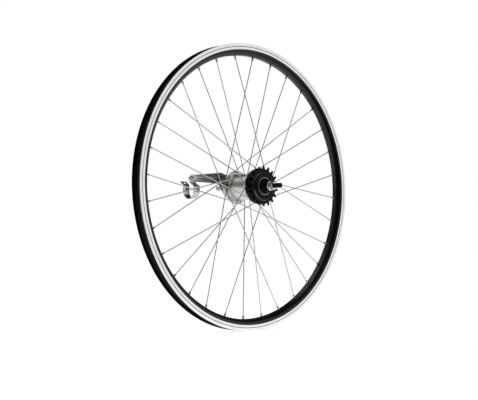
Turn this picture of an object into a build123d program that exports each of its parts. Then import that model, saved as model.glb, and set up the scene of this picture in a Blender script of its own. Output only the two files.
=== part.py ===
from build123d import *
import os
from math import cos, degrees, pi, radians, sin, sqrt, tan

# Rear bicycle wheel without its tyre: a double wall rim laced to a geared hub with a back pedal brake.
# Millimetres. The axle lies along Y, the sprocket is on the -Y side and Z is up. The origin is the
# middle of the axle. Angles are counted from +X towards +Z, as seen from the sprocket side.

# Rim
rim_radius = 286.0
rim_width = 24.0
rim_depth = 23.0
rim_floor_width = 9.0
rim_wall = 1.6
rim_flank_radius = 16.0
lip_width = 1.6
track_height = 11.6
bead_depth = 6.5
bead_width = 3.0
well_depth = 9.0
well_slope = 1.0
tape_thickness = 0.8
tape_edge_gap = 0.4
valve_hole_radius = 4.25
valve_angle = 295.05

# Spokes and nipples
spoke_count = 32
crossings = 3
first_spoke_angle = 98.2
spoke_radius = 1.1
spoke_head_radius = 1.9
spoke_head_height = 1.2
spoke_hole_room = 0.3
elbow_room_inside = 1.3
elbow_room_outside = 2.7
nipple_radius = 2.0
nipple_shank = 8.0
nipple_head_radius = 2.9
nipple_head_height = 2.2
nipple_head_lift = 1.5
nipple_bore_room = 0.25
nipple_hole_room = 0.6
sides = 6

# Hub shell
drive_flange = -24.0
left_flange = 33.0
flange_radius = 34.0
flange_thickness = 3.2
spoke_circle = 30.0
barrel_radius = 25.0
barrel_wall = 2.4
barrel_flare = 2.6
collar_radius = 27.0
collar_wall = 3.5
collar_end = -38.0
left_end_radius = 22.5
left_end = 48.0
drum_radius = 20.0
drum_start = 17.5
drum_end = 41.5
left_cup_radius = 14.4

# Bearings
ball_radius = 2.05
ball_room = 0.12
balls_per_race = 8
left_ball_circle = 12.1
left_ball_place = 44.5
cone_ball_circle = 10.8
cone_ball_place = -46.2
shell_ball_circle = 18.35
shell_ball_place = -33.0
ball_ring_length = 9.6

# Axle and what is clamped on it
axle_radius = 4.75
axle_length = 183.0
axle_chamfer = 1.0
groove_room = 0.5
groove_width = 1.5
groove_depth = 0.5
over_locknuts = 120.0
thread_room = 0.05
locknut_across = 17.0
right_locknut_length = 4.0
washer_radius = 9.0
washer_thickness = 1.6
nut_across = 15.0
nut_length = 12.9
nut_flange_radius = 9.6
nut_flange_thickness = 3.0
right_cone_length = 12.6
cone_cap_base = 14.8
cone_cap_top = 11.0
cone_cap_length = 6.4
cone_cap_wall = 1.2

# Brake
brake_cone_start = 26.0
brake_cone_tip = 8.0
brake_cone_radius = 12.0
brake_cone_taper = 8.0
neck_square = 13.0
neck_room = 0.1
shoe_gap = 0.4
shoe_length = 14.0
shoe_count = 3
shoe_slot = 3.0
shoe_spring_width = 2.0
shoe_spring_thickness = 1.2
dust_cap_thickness = 1.8
dust_cap_lip = 2.6

# Brake arm and its clip
arm_thickness = 2.5
arm_eye_radius = 22.0
arm_hump = (-27.0, 18.5)
arm_hump_radius = 11.7
arm_tip = (-104.0, 15.5)
arm_tip_radius = 6.5
arm_fold_width = 2.2
arm_fold_depth = 4.0
arm_fold_end = 20.0
bolt_radius = 3.0
bolt_room = 0.15
bolt_across = 10.0
bolt_head_length = 3.6
clip_nut_length = 4.6
bolt_end_length = 6.0
strap_width = 15.0
strap_thickness = 1.8
strap_bow = 12.3
strap_gap = 29.4
strap_bend_radius = 4.0
tab_above_bolt = 7.5
tab_below_bolt = 9.0
strap_straight = 17.0
strap_side = 25.0
ear_start = 13.0
ear_reach = 9.0
ear_rise = 7.0

# Driver, sprocket and covers
driver_bore = 6.2
driver_sleeve = 12.0
driver_seat = 15.8
driver_shoulder = 20.0
driver_shoulder_width = 2.1
driver_end = -48.6
sprocket_teeth = 18
chain_pitch = 12.7
roller_seat = 4.0
roller_seat_sides = 8
tooth_height = 3.25
tooth_gap = 11.8
sprocket_face = -45.8
sprocket_thickness = 3.0
sprocket_boss_radius = 28.5
sprocket_boss_height = 0.8
drive_tabs = 3
tab_width = 6.0
tab_depth = 1.6
tab_room = 0.15
snap_ring_width = 1.6
snap_ring_thickness = 1.3
snap_ring_gap = 14.0
hub_cap_radius = 36.0
hub_cap_wall = 1.4
hub_cap_bore = 21.0
hub_cap_back = -30.0
hub_cap_edge = 1.2

# Planet gears
sun_teeth = 15
planet_teeth = 12
ring_teeth = sun_teeth + 2 * planet_teeth
planet_count = 3
backlash_share = 0.36
addendum_share = 0.8
dedendum_share = 1.1
flank_angle = 20.0
gear_width = 13.0
gear_side_room = 1.2
pin_radius = 2.0
pin_room = 0.06
carrier_plate = 3.4
carrier_room = 0.9
carrier_journal = 8.0
carrier_post = 2.6
dog_height = 3.0
dog_width = 5.2
dog_room = 0.2
ring_wall = 1.8
ring_room = 0.6
ring_plate = 2.6
running_room = 0.3

# Worked out sizes. The gears are as large as the barrel's bore lets them be
barrel_bore = barrel_radius - barrel_wall
ring_outer = barrel_bore - ring_room
module = (ring_outer - ring_wall) / (ring_teeth / 2 + dedendum_share)
backlash = backlash_share * module
addendum = addendum_share * module
dedendum = dedendum_share * module
sun_pitch = module * sun_teeth / 2
planet_pitch = module * planet_teeth / 2
ring_pitch = module * ring_teeth / 2
carrier_radius = ring_pitch - addendum - carrier_room
planet_circle = sun_pitch + planet_pitch
tooth_width = pi * module / 2 - backlash
planet_angles = [90 + 360 / planet_count * i for i in range(planet_count)]
post_angle = planet_angles[0] + 180 / planet_count
sun_tip = sun_pitch + addendum
sun_start = planet_angles[0] + 180 / sun_teeth
ring_start = planet_angles[0] + (0 if planet_teeth % 2 else 180 / ring_teeth)
dog_circle = driver_sleeve - dog_height / 2
plate_inner = gear_width / 2 + gear_side_room
plate_outer = plate_inner + carrier_plate
locknut_face = over_locknuts / 2
nut_seat = locknut_face + washer_thickness
groove_end = nut_seat + nut_length + groove_room + groove_width
cone_end = -locknut_face + right_locknut_length
cone_race = cone_ball_circle - ball_radius - ball_room
driver_cup = cone_ball_circle + ball_radius + ball_room * 2
driver_race = shell_ball_circle - ball_radius - ball_room
ring_race = shell_ball_circle + ball_radius + ball_room * 2
left_race = left_ball_circle - ball_radius - ball_room
collar_bore = collar_radius - collar_wall
cap_seat = left_end + dust_cap_lip - dust_cap_thickness + running_room
arm_near = cap_seat + dust_cap_thickness
arm_far = arm_near + arm_thickness
pitch_radius = chain_pitch / 2 / sin(pi / sprocket_teeth)
rim_floor = rim_radius - rim_depth
well_floor = rim_radius - well_depth
chamber_top = well_floor - rim_wall
nipple_seat = rim_floor + rim_wall / 2
spoke_pitch = 360 / spoke_count
lacing_turn = crossings * 2 * spoke_pitch


def turn(points):
    """Turn a closed outline of (radius, place along the axle) points about the axle."""
    with BuildSketch(Plane.XY) as profile:
        with BuildLine():
            Polyline(*points, close=True)
        make_face()
    revolve(profile.sketch, axis=Axis.Y)


def across(place, centre=(0.0, 0.0)):
    """Plane square to the axle, seen from the sprocket side. Extrusions run towards the sprocket."""
    return Plane((centre[0], place, centre[1]), x_dir=(1, 0, 0), z_dir=(0, -1, 0))


def on_circle(radius, angle, place=0.0):
    """Point on a circle round the axle."""
    return Vector(radius * cos(radians(angle)), place, radius * sin(radians(angle)))


def rim_plane(radius, angle):
    """Plane square to a radius of the wheel, facing outwards."""
    return Plane(on_circle(radius, angle), x_dir=(0, 1, 0), z_dir=on_circle(1, angle))


def teeth_outline(count, pitch, root, tip, start):
    """Straight flanked gear teeth, given by the radii of the pitch line, the roots and the tips."""
    points = []
    for i in range(count):
        middle = start + 360 / count * i
        for radius, side in ((root, -1), (tip, -1), (tip, 1), (root, 1)):
            taper = abs(radius - pitch) * tan(radians(flank_angle))
            half = tooth_width / 2 + (taper if radius == root else -taper)
            spot = on_circle(radius, middle + side * degrees(half / radius))
            points.append((spot.X, spot.Z))
    return points


def ball_race(circle, place):
    """Ring of bearing balls, each a cube with its edges cut to flats, so that it stays light."""
    with BuildSketch(across(place + ball_radius)) as squares:
        with PolarLocations(circle, balls_per_race):
            Rectangle(2 * ball_radius, 2 * ball_radius)
    balls = extrude(squares.sketch, amount=2 * ball_radius)
    chamfer(balls.edges(), ball_radius * (2 - sqrt(2)))


def spoke_ends(flange, hole_angle, rim_angle, leaves):
    """Head, elbow and rim points of a spoke. It leaves the flange on the +Y (1) or -Y (-1) face."""
    inward = leaves * flange < 0
    room = elbow_room_inside if inward else elbow_room_outside
    head = on_circle(spoke_circle, hole_angle, flange - leaves * flange_thickness / 2)
    elbow = on_circle(spoke_circle, hole_angle, flange + leaves * (flange_thickness / 2 + room))
    return head, elbow, on_circle(nipple_seat, rim_angle)


def lacing():
    """Every spoke as (flange, head, elbow, rim hole). Four spokes in a row make one pattern."""
    for i in range(spoke_count):
        rim_angle = first_spoke_angle - spoke_pitch * i
        flange = left_flange if i % 2 else drive_flange
        turned = lacing_turn if i % 4 in (1, 2) else -lacing_turn
        leaves = 1 if turned > 0 else -1
        yield flange, *spoke_ends(flange, rim_angle + turned, rim_angle, leaves)


def lace(flange):
    """All the spokes of one flange, each with its button head, elbow and straight run."""
    for side, head, elbow, seat in lacing():
        if side != flange:
            continue
        run = (seat - elbow).normalized()
        end = seat + run * (nipple_head_lift + nipple_head_height / 2)
        start = Plane(head, x_dir=(head.X, 0, head.Z), z_dir=elbow - head)
        with BuildLine() as wire:
            Polyline(head, elbow, end)
        with BuildSketch(start) as section:
            RegularPolygon(spoke_radius, sides)
        sweep(section.sketch, path=wire.line, transition=Transition.RIGHT)
        with BuildSketch(start) as button:
            RegularPolygon(spoke_head_radius, sides)
        extrude(button.sketch, amount=-spoke_head_height)


def nipple_planes(along):
    """Planes square to each spoke, at a distance along it from the rim's hole."""
    for _, _, elbow, seat in lacing():
        run = (seat - elbow).normalized()
        yield Plane(seat + run * along, z_dir=run)


# Rim: one extrusion rolled into a hoop, with two walls, a tyre well and brake tracks
half_rim = rim_width / 2
half_floor = rim_floor_width / 2
half_well = half_rim - lip_width - bead_width
track_foot = rim_radius - track_height
bead_seat = rim_radius - bead_depth
chamber_half = half_rim - rim_wall
chamber_foot = half_floor - rim_wall / 2
chamber_floor = rim_floor + rim_wall
chamber_flank = rim_flank_radius - rim_wall
spoke_angles = [first_spoke_angle - spoke_pitch * i for i in range(spoke_count)]
with BuildPart() as rim:
    with BuildSketch(Plane.XY):
        with BuildLine():
            Line((rim_floor, half_floor), (rim_floor, -half_floor))
            RadiusArc((rim_floor, -half_floor), (track_foot, -half_rim), -rim_flank_radius)
            Polyline(
                (track_foot, -half_rim),
                (rim_radius, -half_rim),
                (rim_radius, lip_width - half_rim),
                (bead_seat, lip_width - half_rim),
                (bead_seat, -half_well),
                (well_floor, well_slope - half_well),
                (well_floor, half_well - well_slope),
                (bead_seat, half_well),
                (bead_seat, half_rim - lip_width),
                (rim_radius, half_rim - lip_width),
                (rim_radius, half_rim),
                (track_foot, half_rim),
            )
            RadiusArc((track_foot, half_rim), (rim_floor, half_floor), -rim_flank_radius)
        make_face()
        with BuildLine():
            Line((chamber_floor, chamber_foot), (chamber_floor, -chamber_foot))
            RadiusArc((chamber_floor, -chamber_foot), (chamber_top, -chamber_half), -chamber_flank)
            Line((chamber_top, -chamber_half), (chamber_top, chamber_half))
            RadiusArc((chamber_top, chamber_half), (chamber_floor, chamber_foot), -chamber_flank)
        make_face(mode=Mode.SUBTRACT)
    revolve(axis=Axis.Y)
    with BuildSketch(*[rim_plane(rim_floor - rim_wall, angle) for angle in spoke_angles]):
        RegularPolygon(nipple_radius + nipple_hole_room, sides)
    extrude(amount=3 * rim_wall, mode=Mode.SUBTRACT)
    with BuildSketch(rim_plane(rim_floor - rim_wall, valve_angle)):
        Circle(valve_hole_radius)
    extrude(amount=rim_depth, mode=Mode.SUBTRACT)

# Rim tape: a band laid on the floor of the well, with its own hole for the valve
half_tape = half_well - well_slope - tape_edge_gap
with BuildPart() as rim_tape:
    turn(
        [
            (well_floor, -half_tape),
            (well_floor + tape_thickness, -half_tape),
            (well_floor + tape_thickness, half_tape),
            (well_floor, half_tape),
        ]
    )
    with BuildSketch(rim_plane(well_floor - tape_thickness, valve_angle)):
        Circle(valve_hole_radius)
    extrude(amount=3 * tape_thickness, mode=Mode.SUBTRACT)

# Spokes: drawn wire, one set to each flange
with BuildPart() as drive_side_spokes:
    lace(drive_flange)

with BuildPart() as left_side_spokes:
    lace(left_flange)

# Nipples: long nuts that pull each spoke tight from inside the rim
with BuildPart() as nipples:
    with BuildSketch(*nipple_planes(-nipple_shank)):
        RegularPolygon(nipple_radius, sides)
        RegularPolygon(spoke_radius + nipple_bore_room, sides, mode=Mode.SUBTRACT)
    extrude(amount=nipple_shank + nipple_head_lift)
    with BuildSketch(*nipple_planes(nipple_head_lift)):
        RegularPolygon(nipple_head_radius, sides)
        RegularPolygon(spoke_radius + nipple_bore_room, sides, mode=Mode.SUBTRACT)
    extrude(amount=nipple_head_height)

# Hub shell: turned aluminium barrel with a brake drum, a bearing cup and a seat for each flange
half_flange = flange_thickness / 2
flare_radius = barrel_radius + barrel_flare
ring_end = collar_end + ball_ring_length
with BuildPart() as hub_shell:
    turn(
        [
            (collar_radius, collar_end),
            (collar_radius, drive_flange + half_flange),
            (flare_radius, drive_flange + half_flange),
            (barrel_radius, drive_flange + half_flange + barrel_flare),
            (barrel_radius, left_flange - half_flange - barrel_flare),
            (flare_radius, left_flange - half_flange),
            (barrel_radius, left_flange - half_flange),
            (barrel_radius, left_flange + half_flange),
            (left_end_radius, left_flange + half_flange + barrel_flare),
            (left_end_radius, left_end),
            (left_cup_radius, left_end),
            (left_cup_radius, drum_end),
            (drum_radius, drum_end),
            (drum_radius, drum_start),
            (barrel_bore, drum_start),
            (barrel_bore, ring_end),
            (collar_bore, ring_end),
            (collar_bore, collar_end),
        ]
    )

# Hub flanges: drilled rings pressed on the shell's two seats, against its shoulders
flange_seats = (
    (drive_flange, collar_radius, -lacing_turn),
    (left_flange, barrel_radius, lacing_turn - spoke_pitch),
)
with BuildPart() as hub_flanges:
    for flange, seat_radius, turned in flange_seats:
        with BuildSketch(across(flange + half_flange)):
            Circle(flange_radius)
            Circle(seat_radius, mode=Mode.SUBTRACT)
            with PolarLocations(spoke_circle, spoke_count // 2, first_spoke_angle + turned):
                RegularPolygon(spoke_radius + spoke_hole_room, sides, mode=Mode.SUBTRACT)
        extrude(amount=flange_thickness)

# Ball ring: hardened ring screwed into the drive end of the shell
with BuildPart() as ball_ring:
    turn(
        [
            (ring_race, collar_end),
            (collar_bore, collar_end),
            (collar_bore, ring_end),
            (ring_race, ring_end),
        ]
    )

# Hub cap: black cup over the drive end of the shell
with BuildPart() as hub_cap:
    turn(
        [
            (hub_cap_bore, collar_end - hub_cap_wall),
            (hub_cap_radius - hub_cap_edge, collar_end - hub_cap_wall),
            (hub_cap_radius, collar_end - hub_cap_wall + hub_cap_edge),
            (hub_cap_radius, hub_cap_back),
            (hub_cap_radius - hub_cap_wall, hub_cap_back),
            (hub_cap_radius - hub_cap_wall, collar_end),
            (hub_cap_bore, collar_end),
        ]
    )

# Axle: threaded steel rod with a run-out groove outside each nut, and the fixed sun gear cut on its middle
half_axle = axle_length / 2
groove_start = groove_end - groove_width
with BuildPart() as axle:
    turn(
        [
            (0, -half_axle),
            (axle_radius - axle_chamfer, -half_axle),
            (axle_radius, axle_chamfer - half_axle),
            (axle_radius, -groove_end),
            (axle_radius - groove_depth, -groove_end),
            (axle_radius - groove_depth, -groove_start),
            (axle_radius, -groove_start),
            (axle_radius, groove_start),
            (axle_radius - groove_depth, groove_start),
            (axle_radius - groove_depth, groove_end),
            (axle_radius, groove_end),
            (axle_radius, half_axle - axle_chamfer),
            (axle_radius - axle_chamfer, half_axle),
            (0, half_axle),
        ]
    )
    with BuildSketch(across(gear_width / 2)):
        with BuildLine():
            Polyline(
                *teeth_outline(sun_teeth, sun_pitch, sun_pitch - dedendum, sun_tip, sun_start),
                close=True,
            )
        make_face()
    extrude(amount=gear_width)

# Right cone, its black cover and locknut
cone_inner = cone_end + right_cone_length
axle_bore = axle_radius + thread_room
with BuildPart() as right_cone:
    turn(
        [
            (axle_bore, cone_end),
            (cone_race, cone_end),
            (cone_race, cone_inner),
            (axle_bore, cone_inner),
        ]
    )

cap_foot = cone_end + cone_cap_length
with BuildPart() as cone_cap:
    turn(
        [
            (cone_race, cone_end),
            (cone_cap_top, cone_end),
            (cone_cap_base, cap_foot),
            (cone_cap_base - cone_cap_wall, cap_foot),
            (cone_cap_top - cone_cap_wall, cone_end + cone_cap_wall),
            (cone_race, cone_end + cone_cap_wall),
        ]
    )

with BuildPart() as right_locknut:
    with BuildSketch(across(cone_end)):
        RegularPolygon(locknut_across / 2, 6, major_radius=False)
        Circle(axle_bore, mode=Mode.SUBTRACT)
    extrude(amount=right_locknut_length)

# Brake cone: fixed wedge of the brake, left bearing cone and square neck for the arm
taper_end = brake_cone_start + brake_cone_taper
with BuildPart() as brake_cone:
    turn(
        [
            (axle_bore, brake_cone_start),
            (brake_cone_tip, brake_cone_start),
            (brake_cone_radius, taper_end),
            (brake_cone_radius, drum_end),
            (left_race, drum_end),
            (left_race, cap_seat),
            (axle_bore, cap_seat),
        ]
    )
    with BuildSketch(across(arm_far - neck_room)):
        Rectangle(neck_square, neck_square)
        Circle(axle_bore, mode=Mode.SUBTRACT)
    extrude(amount=arm_far - neck_room - cap_seat)

# Brake shoes: three segments that spread against the drum, kept together by a spring ring
shoe_outer = drum_radius - shoe_gap
shoe_inner = brake_cone_radius + shoe_gap
shoe_start = drum_end - running_room - shoe_length
spring_floor = shoe_outer - shoe_spring_thickness - running_room
spring_start = shoe_start + (shoe_length - shoe_spring_width) / 2 - running_room
spring_end = spring_start + shoe_spring_width + 2 * running_room
with BuildPart() as brake_shoes:
    turn(
        [
            (shoe_inner, shoe_start),
            (shoe_outer, shoe_start),
            (shoe_outer, spring_start),
            (spring_floor, spring_start),
            (spring_floor, spring_end),
            (shoe_outer, spring_end),
            (shoe_outer, shoe_start + shoe_length),
            (shoe_inner, shoe_start + shoe_length),
        ]
    )
    with BuildSketch(across(shoe_start + shoe_length)):
        with PolarLocations(drum_radius / 2, shoe_count):
            Rectangle(drum_radius, shoe_slot)
    extrude(amount=shoe_length, mode=Mode.SUBTRACT)

spring_inner = spring_floor + running_room / 2
with BuildPart() as shoe_spring:
    with BuildSketch(across(spring_end - running_room)):
        Circle(spring_inner + shoe_spring_thickness)
        Circle(spring_inner, mode=Mode.SUBTRACT)
        with Locations((drum_radius, 0)):
            Rectangle(drum_radius, shoe_slot, mode=Mode.SUBTRACT)
    extrude(amount=shoe_spring_width)

# Left dust cap: dished disc that closes the brake end
with BuildPart() as left_dust_cap:
    turn(
        [
            (left_race - running_room, cap_seat),
            (left_end_radius - dust_cap_thickness, cap_seat),
            (left_end_radius - dust_cap_thickness, left_end + running_room),
            (left_end_radius, left_end + running_room),
            (left_end_radius, arm_near),
            (left_race - running_room, arm_near),
        ]
    )

# Brake arm: pressed steel lever with folded edges, held by the square neck
with BuildPart() as brake_arm:
    with BuildSketch(across(arm_far)):
        Circle(arm_eye_radius)
        with Locations(arm_hump):
            Circle(arm_hump_radius)
        make_hull()
        with BuildSketch(mode=Mode.PRIVATE) as reach:
            with Locations(arm_hump):
                Circle(arm_hump_radius)
            with Locations(arm_tip):
                Circle(arm_tip_radius)
            make_hull()
        add(reach.sketch)
        Rectangle(neck_square + neck_room, neck_square + neck_room, mode=Mode.SUBTRACT)
        with Locations(arm_tip):
            Circle(bolt_radius + bolt_room, mode=Mode.SUBTRACT)
    extrude(amount=arm_thickness)
    fold_length = arm_hump[0] - arm_hump_radius - arm_tip[0] - arm_fold_end
    fold_middle = arm_tip[0] + arm_fold_end + fold_length / 2
    with BuildSketch(across(arm_near)):
        add(reach.sketch)
        offset(amount=-arm_fold_width, mode=Mode.SUBTRACT)
        with Locations((fold_middle, arm_tip[1])):
            Rectangle(fold_length, 8 * arm_tip_radius, mode=Mode.INTERSECT)
    extrude(amount=arm_fold_depth)

# Left locknut, then the washers and the flanged axle nuts of both ends
with BuildPart() as left_locknut:
    with BuildSketch(across(locknut_face)):
        RegularPolygon(locknut_across / 2, 6, major_radius=False)
        Circle(axle_bore, mode=Mode.SUBTRACT)
    extrude(amount=locknut_face - arm_far)

with BuildPart() as axle_washers:
    for place in (locknut_face + washer_thickness, -locknut_face):
        with BuildSketch(across(place)):
            Circle(washer_radius)
            Circle(axle_bore, mode=Mode.SUBTRACT)
        extrude(amount=washer_thickness)

with BuildPart() as axle_nuts:
    for place in (nut_seat + nut_length, -nut_seat):
        with BuildSketch(across(place)):
            RegularPolygon(nut_across / 2, 6, major_radius=False, rotation=30)
            Circle(axle_bore, mode=Mode.SUBTRACT)
        extrude(amount=nut_length)
    for place in (nut_seat + nut_flange_thickness, -nut_seat):
        with BuildSketch(across(place)):
            Circle(nut_flange_radius)
            Circle(axle_bore, mode=Mode.SUBTRACT)
        extrude(amount=nut_flange_thickness)

# Arm clip: bent strap that goes round a frame tube, hung on the bolt at the arm's tip
strap_near = arm_near - strap_thickness / 2
strap_bowed = strap_near - strap_bow
strap_far = strap_bowed + strap_gap + strap_thickness
strap_reach = strap_gap + strap_thickness
with BuildPart() as arm_clip:
    with BuildLine(Plane.YZ.offset(arm_tip[0])) as strap_line:
        FilletPolyline(
            (strap_near, arm_tip[1] + tab_above_bolt),
            (strap_near, arm_tip[1] - tab_below_bolt),
            (strap_bowed, arm_tip[1] - strap_straight),
            (strap_bowed, arm_tip[1] - strap_side),
            radius=strap_bend_radius,
        )
        ThreePointArc(
            (strap_bowed, arm_tip[1] - strap_side),
            (strap_bowed + strap_reach / 2, arm_tip[1] - strap_side - strap_reach / 2),
            (strap_far, arm_tip[1] - strap_side),
        )
        FilletPolyline(
            (strap_far, arm_tip[1] - strap_side),
            (strap_far, arm_tip[1] - ear_start),
            (strap_far + ear_reach, arm_tip[1] - ear_start + ear_rise),
            radius=strap_bend_radius,
        )
    with BuildSketch(Plane((arm_tip[0], strap_near, arm_tip[1] + tab_above_bolt), z_dir=(0, 0, -1))):
        Rectangle(strap_width, strap_thickness)
    sweep()
    corners = arm_clip.edges().filter_by(Axis.Y).sort_by(Axis.Z)[-2:]
    fillet(corners, strap_width / 2.2)
    with BuildSketch(across(arm_near + strap_thickness)):
        with Locations(arm_tip):
            Circle(bolt_radius + bolt_room)
    extrude(amount=3 * strap_thickness, mode=Mode.SUBTRACT)
    ear_middle = (strap_far + ear_reach / 2, arm_tip[1] - ear_start + ear_rise / 2)
    ear_plane = Plane((arm_tip[0], *ear_middle), x_dir=(1, 0, 0), z_dir=(0, -ear_rise, ear_reach))
    with BuildSketch(ear_plane.offset(-strap_thickness)):
        Circle(bolt_radius + bolt_room)
    extrude(amount=2 * strap_thickness, mode=Mode.SUBTRACT)

nut_place = arm_near - strap_thickness
with BuildPart() as clip_bolt:
    with BuildSketch(across(arm_far + bolt_head_length)):
        with Locations(arm_tip):
            RegularPolygon(bolt_across / 2, 6, major_radius=False)
    extrude(amount=bolt_head_length)
    with BuildSketch(across(arm_far)):
        with Locations(arm_tip):
            Circle(bolt_radius)
    extrude(amount=arm_far - nut_place + clip_nut_length + bolt_end_length)

with BuildPart() as clip_nut:
    with BuildSketch(across(nut_place)):
        with Locations(arm_tip):
            RegularPolygon(bolt_across / 2, 6, major_radius=False)
            Circle(bolt_radius + thread_room, mode=Mode.SUBTRACT)
    extrude(amount=clip_nut_length)

# Driver: sleeve that carries the sprocket, runs on the right cone and turns the planet carrier
sprocket_back = sprocket_face + sprocket_thickness
sleeve_end = -plate_outer - dog_room
shoulder_end = sprocket_back + driver_shoulder_width
race_end = ring_end + running_room
cup_floor = cone_inner + running_room
with BuildPart() as driver:
    turn(
        [
            (driver_bore, sleeve_end),
            (driver_sleeve, sleeve_end),
            (driver_sleeve, race_end),
            (driver_race, race_end),
            (driver_race, shoulder_end),
            (driver_shoulder, shoulder_end),
            (driver_shoulder, sprocket_back),
            (driver_seat, sprocket_back),
            (driver_seat, driver_end),
            (driver_cup, driver_end),
            (driver_cup, cup_floor),
            (driver_bore, cup_floor),
        ]
    )
    with BuildSketch(across(sprocket_back)):
        with PolarLocations(driver_seat, drive_tabs, 90):
            Rectangle(2 * tab_depth, tab_width)
    extrude(amount=sprocket_back - driver_end, mode=Mode.SUBTRACT)
    with BuildSketch(across(-plate_inner)):
        with PolarLocations(dog_circle, planet_count, post_angle):
            Rectangle(dog_height, dog_width)
    extrude(amount=carrier_plate + 2 * dog_room)

# Sprocket: stamped plate with a raised middle, keyed to the driver by three tabs
tip_radius = pitch_radius + tooth_height
tooth_turn = 90 + 180 / sprocket_teeth
with BuildPart() as sprocket:
    with BuildSketch(across(sprocket_back)):
        Circle(tip_radius)
        with PolarLocations(pitch_radius, sprocket_teeth, tooth_turn):
            RegularPolygon(roller_seat, roller_seat_sides, major_radius=False, mode=Mode.SUBTRACT)
            Polygon(
                (0, -roller_seat),
                (tooth_height, -tooth_gap / 2),
                (tooth_height, tooth_gap / 2),
                (0, roller_seat),
                align=None,
                mode=Mode.SUBTRACT,
            )
    extrude(amount=sprocket_thickness - sprocket_boss_height)
    with BuildSketch(across(sprocket_face + sprocket_boss_height)):
        Circle(sprocket_boss_radius)
    extrude(amount=sprocket_boss_height, taper=45)
    with BuildSketch(across(sprocket_back)):
        Circle(driver_seat + tab_room)
        with PolarLocations(driver_seat, drive_tabs, 90):
            Rectangle(2 * (tab_depth - tab_room), tab_width - 2 * tab_room, mode=Mode.SUBTRACT)
    extrude(amount=sprocket_thickness, mode=Mode.SUBTRACT)

# Snap ring: sprung wire ring that keeps the sprocket on
with BuildPart() as snap_ring:
    with BuildSketch(across(sprocket_face)):
        Circle(driver_seat + snap_ring_width)
        Circle(driver_seat + thread_room, mode=Mode.SUBTRACT)
        with Locations((driver_seat, 0)):
            Rectangle(driver_seat, snap_ring_gap, mode=Mode.SUBTRACT)
    extrude(amount=snap_ring_thickness)

# Planet carrier: two plates joined by posts, driven by the dogs and borne on the axle
with BuildPart() as planet_carrier:
    with BuildSketch(across(plate_outer)):
        Circle(carrier_radius)
        Circle(axle_radius + running_room, mode=Mode.SUBTRACT)
        with PolarLocations(planet_circle, planet_count, planet_angles[0]):
            RegularPolygon(pin_radius + thread_room, sides, major_radius=False, mode=Mode.SUBTRACT)
    extrude(amount=carrier_plate)
    with BuildSketch(across(-plate_inner)):
        Circle(carrier_radius)
        Circle(sun_tip + running_room, mode=Mode.SUBTRACT)
        with PolarLocations(planet_circle, planet_count, planet_angles[0]):
            RegularPolygon(pin_radius + thread_room, sides, major_radius=False, mode=Mode.SUBTRACT)
        with PolarLocations(dog_circle, planet_count, post_angle):
            Rectangle(dog_height + 2 * dog_room, dog_width + 2 * dog_room, mode=Mode.SUBTRACT)
    extrude(amount=carrier_plate)
    with BuildSketch(across(plate_inner)):
        with PolarLocations(planet_circle, planet_count, post_angle):
            Rectangle(2 * carrier_post, 2 * carrier_post)
    extrude(amount=2 * plate_inner)
    with BuildSketch(across(brake_cone_start - running_room)):
        Circle(carrier_journal)
        Circle(axle_radius + running_room, mode=Mode.SUBTRACT)
    extrude(amount=brake_cone_start - running_room - plate_outer)

with BuildPart() as planet_pins:
    with BuildSketch(across(plate_outer)):
        with PolarLocations(planet_circle, planet_count, planet_angles[0]):
            Circle(pin_radius)
    extrude(amount=2 * plate_outer)

# Ring gear: cup with inner teeth, borne on the carrier's journal
ring_root = ring_pitch + dedendum
plate_start = plate_outer + running_room
with BuildPart() as ring_gear:
    with BuildSketch(across(gear_width / 2)):
        Circle(ring_outer)
        with BuildLine():
            Polyline(
                *teeth_outline(ring_teeth, ring_pitch, ring_root, ring_pitch - addendum, ring_start),
                close=True,
            )
        make_face(mode=Mode.SUBTRACT)
    extrude(amount=gear_width)
    turn(
        [
            (ring_root, gear_width / 2),
            (ring_outer, gear_width / 2),
            (ring_outer, plate_start + ring_plate),
            (carrier_journal + running_room, plate_start + ring_plate),
            (carrier_journal + running_room, plate_start),
            (ring_root, plate_start),
        ]
    )

# Planet gears: each has a tooth towards the axle at rest
planet_root = planet_pitch - dedendum
planet_tip = planet_pitch + addendum
planets = {}
for number, angle in enumerate(planet_angles, 1):
    centre = on_circle(planet_circle, angle)
    with BuildPart() as planet:
        with BuildSketch(across(gear_width / 2, (centre.X, centre.Z))):
            with BuildLine():
                Polyline(
                    *teeth_outline(planet_teeth, planet_pitch, planet_root, planet_tip, angle + 180),
                    close=True,
                )
            make_face()
            Circle(pin_radius + pin_room, mode=Mode.SUBTRACT)
        extrude(amount=gear_width)
    planets[f"planet_gear_{number}"] = planet

# Bearing balls: between shell and brake cone, driver and right cone, shell and driver
with BuildPart() as left_balls:
    ball_race(left_ball_circle, left_ball_place)

with BuildPart() as cone_balls:
    ball_race(cone_ball_circle, cone_ball_place)

with BuildPart() as shell_balls:
    ball_race(shell_ball_circle, shell_ball_place)

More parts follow.
